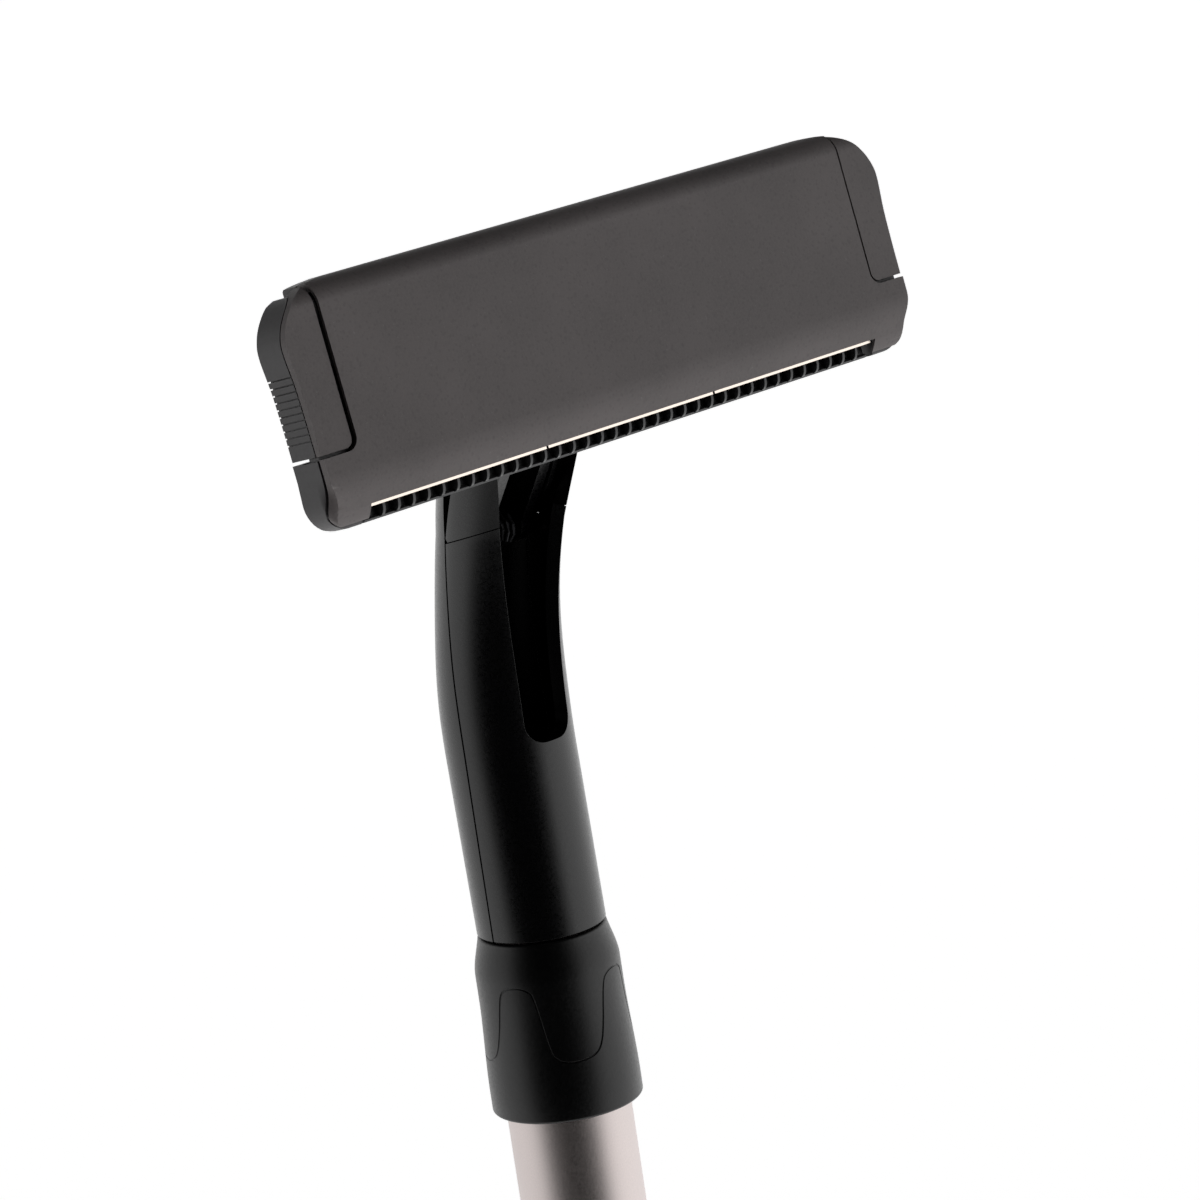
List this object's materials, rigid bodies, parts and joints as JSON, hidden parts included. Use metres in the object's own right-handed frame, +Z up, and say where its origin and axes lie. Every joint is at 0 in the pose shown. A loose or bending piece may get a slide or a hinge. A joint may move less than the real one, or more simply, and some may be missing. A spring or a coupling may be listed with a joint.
{
  "type": "cartridge razor",
  "caption": "Wide back razor with a clip-off blade cartridge, side release buttons, a sprung curved neck and a telescoping pole with a twist lock.",
  "frame": {"origin": "centre of the flat foot of the grip's end cap, on the pole's axis", "axes": "+Z runs up the pole, +X along the head, and the shaving face looks towards -Y"},
  "size_m": [0.1186, 0.0503, 0.3529],
  "materials": {
    "pole": "satin anodised, fine grain",
    "soft_touch": "matte soft touch",
    "neck_plastic": "satin moulded black",
    "cap_plastic": "satin moulded dark grey",
    "face_skin": "fine spark-eroded grain, warm dark grey",
    "comb_plastic": "satin moulded black",
    "blade_steel": "ground bright edge",
    "steel": "plain steel",
    "nylon": "plain moulded nylon"
  },
  "bodies": {
    "handle": {"outer_pole": "pole", "grip_sleeve": "soft_touch", "end_cap": "soft_touch", "lock_ferrule": "nylon", "lock_collet": "nylon"},
    "collar": {"lock_collar": "soft_touch", "collar_core": "nylon"},
    "neck": {"inner_pole": "pole", "inner_pole_bush": "nylon", "neck_front": "neck_plastic", "neck_rear": "neck_plastic", "neck_screw_lower": "steel", "neck_screw_upper": "steel", "pivot_pin": "steel", "flex_spring": "steel"},
    "head": {"head_yoke": "neck_plastic", "head_frame": "cap_plastic", "mount_screw_left": "steel", "mount_screw_right": "steel", "button_spring_left": "steel", "button_spring_right": "steel"},
    "left_button": {"button_left": "cap_plastic", "button_cover_left": "face_skin"},
    "right_button": {"button_right": "cap_plastic", "button_cover_right": "face_skin"},
    "cartridge": {"face_plate": "face_skin", "cartridge_body": "cap_plastic", "comb_guard": "comb_plastic", "blade_left": "blade_steel", "blade_middle": "blade_steel", "blade_right": "blade_steel"}
  },
  "joints": [
    {"name": "collar_twist", "type": "hinge", "parent": "handle", "child": "collar", "pos_m": [0, 0, 0.2288], "axis": [0, 0, 1], "range_deg": [0, 120]},
    {"name": "pole_extension", "type": "slide", "parent": "handle", "child": "neck", "axis": [0, 0, 1], "range_m": [0, 0.15]},
    {"name": "head_flex", "type": "hinge", "parent": "neck", "child": "head", "pos_m": [0, -0.0023, 0.3043], "axis": [-1, 0, 0], "range_deg": [0, 9], "stiffness_Nm_per_rad": 0.8, "springref_deg": -8.59, "deforming": ["flex_spring"]},
    {"name": "left_button_press", "type": "slide", "parent": "head", "child": "left_button", "axis": [1, 0, 0], "range_m": [0, 0.0005], "stiffness_N_per_m": 1500, "springref_m": -0.0015, "deforming": ["button_spring_left"]},
    {"name": "right_button_press", "type": "slide", "parent": "head", "child": "right_button", "axis": [-1, 0, 0], "range_m": [0, 0.0005], "stiffness_N_per_m": 1500, "springref_m": -0.0015, "deforming": ["button_spring_right"]},
    {"name": "cartridge_release", "type": "slide", "parent": "head", "child": "cartridge", "axis": [0, -0.9826, 0.1857], "range_m": [0, 0.02]}
  ]
}
